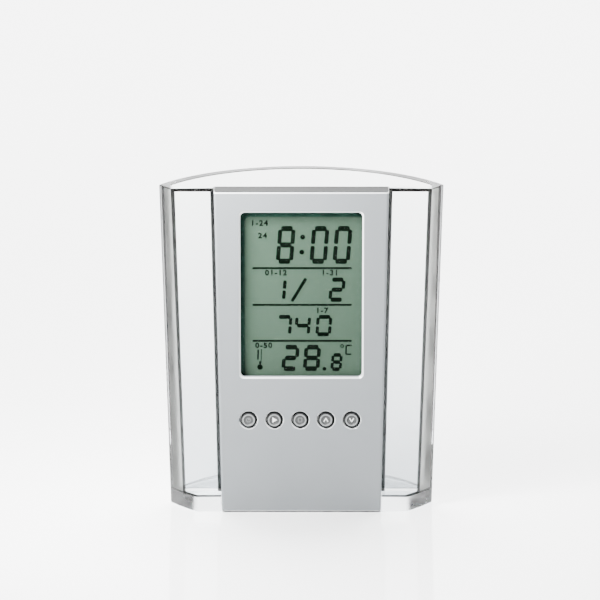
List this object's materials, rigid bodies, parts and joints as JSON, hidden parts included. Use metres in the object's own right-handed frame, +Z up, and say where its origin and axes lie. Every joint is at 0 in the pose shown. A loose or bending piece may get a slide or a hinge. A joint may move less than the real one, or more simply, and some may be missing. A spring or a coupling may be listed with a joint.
{
  "type": "pen holder clock",
  "caption": "Clear lens-shaped pen cup with a silver clock module that slides into its flat front: a display window above a row of push buttons.",
  "frame": {"origin": "on the ground, at the middle of the whole object's width and depth", "axes": "+X to the right as seen from the front, +Y away from the front, +Z up"},
  "size_m": [0.0896, 0.0354, 0.105],
  "materials": {
    "clear_plastic": "clear, polished",
    "silver_plastic": "satin silver paint",
    "window_pane": "clear, polished",
    "display_glass": "grey-green liquid crystal cell",
    "foil": "brushed foil",
    "white_plastic": "fine matt",
    "button_plastic": "satin silver paint",
    "grey_plastic": "fine spark-eroded texture",
    "contact_rubber": "matt",
    "board": "solder mask",
    "black_resin": "satin",
    "steel": "nickel plated",
    "brass": "bright"
  },
  "bodies": {
    "cup": {"pen_cup": "clear_plastic"},
    "clock": {"front_bezel": "silver_plastic", "window_lens": "window_pane", "lcd_glass": "display_glass", "lcd_reflector": "foil", "lcd_frame": "white_plastic", "zebra_strip_lower": "contact_rubber", "zebra_strip_upper": "contact_rubber", "tact_switch_mode": "steel", "tact_switch_set": "steel", "tact_switch_alarm": "steel", "tact_switch_up": "steel", "tact_switch_down": "steel", "circuit_board": "board", "chip_blob": "black_resin", "quartz_crystal": "steel", "temperature_sensor": "black_resin", "piezo_buzzer": "brass", "rear_cover": "grey_plastic", "button_cell_1": "steel", "button_cell_2": "steel", "contact_negative": "brass", "contact_positive": "brass", "contact_bridge": "brass", "case_screw_1": "steel", "case_screw_2": "steel", "case_screw_3": "steel", "case_screw_4": "steel"},
    "mode_key": {"button_mode": "button_plastic", "switch_plunger_mode": "black_resin"},
    "set_key": {"button_set": "button_plastic", "switch_plunger_set": "black_resin"},
    "alarm_key": {"button_alarm": "button_plastic", "switch_plunger_alarm": "black_resin"},
    "up_key": {"button_up": "button_plastic", "switch_plunger_up": "black_resin"},
    "down_key": {"button_down": "button_plastic", "switch_plunger_down": "black_resin"},
    "door": {"battery_door": "grey_plastic"}
  },
  "joints": [
    {"name": "clock_lift", "type": "slide", "parent": "cup", "child": "clock", "axis": [0, 0, 1], "range_m": [0, 0.106]},
    {"name": "mode_press", "type": "slide", "parent": "clock", "child": "mode_key", "axis": [0, 1, 0], "range_m": [0, 0.0005], "stiffness_N_per_m": 800},
    {"name": "set_press", "type": "slide", "parent": "clock", "child": "set_key", "axis": [0, 1, 0], "range_m": [0, 0.0005], "stiffness_N_per_m": 800},
    {"name": "alarm_press", "type": "slide", "parent": "clock", "child": "alarm_key", "axis": [0, 1, 0], "range_m": [0, 0.0005], "stiffness_N_per_m": 800},
    {"name": "up_press", "type": "slide", "parent": "clock", "child": "up_key", "axis": [0, 1, 0], "range_m": [0, 0.0005], "stiffness_N_per_m": 800},
    {"name": "down_press", "type": "slide", "parent": "clock", "child": "down_key", "axis": [0, 1, 0], "range_m": [0, 0.0005], "stiffness_N_per_m": 800},
    {"name": "door_slide", "type": "slide", "parent": "clock", "child": "door", "axis": [0, 0, 1], "range_m": [0, 0.0135]}
  ]
}
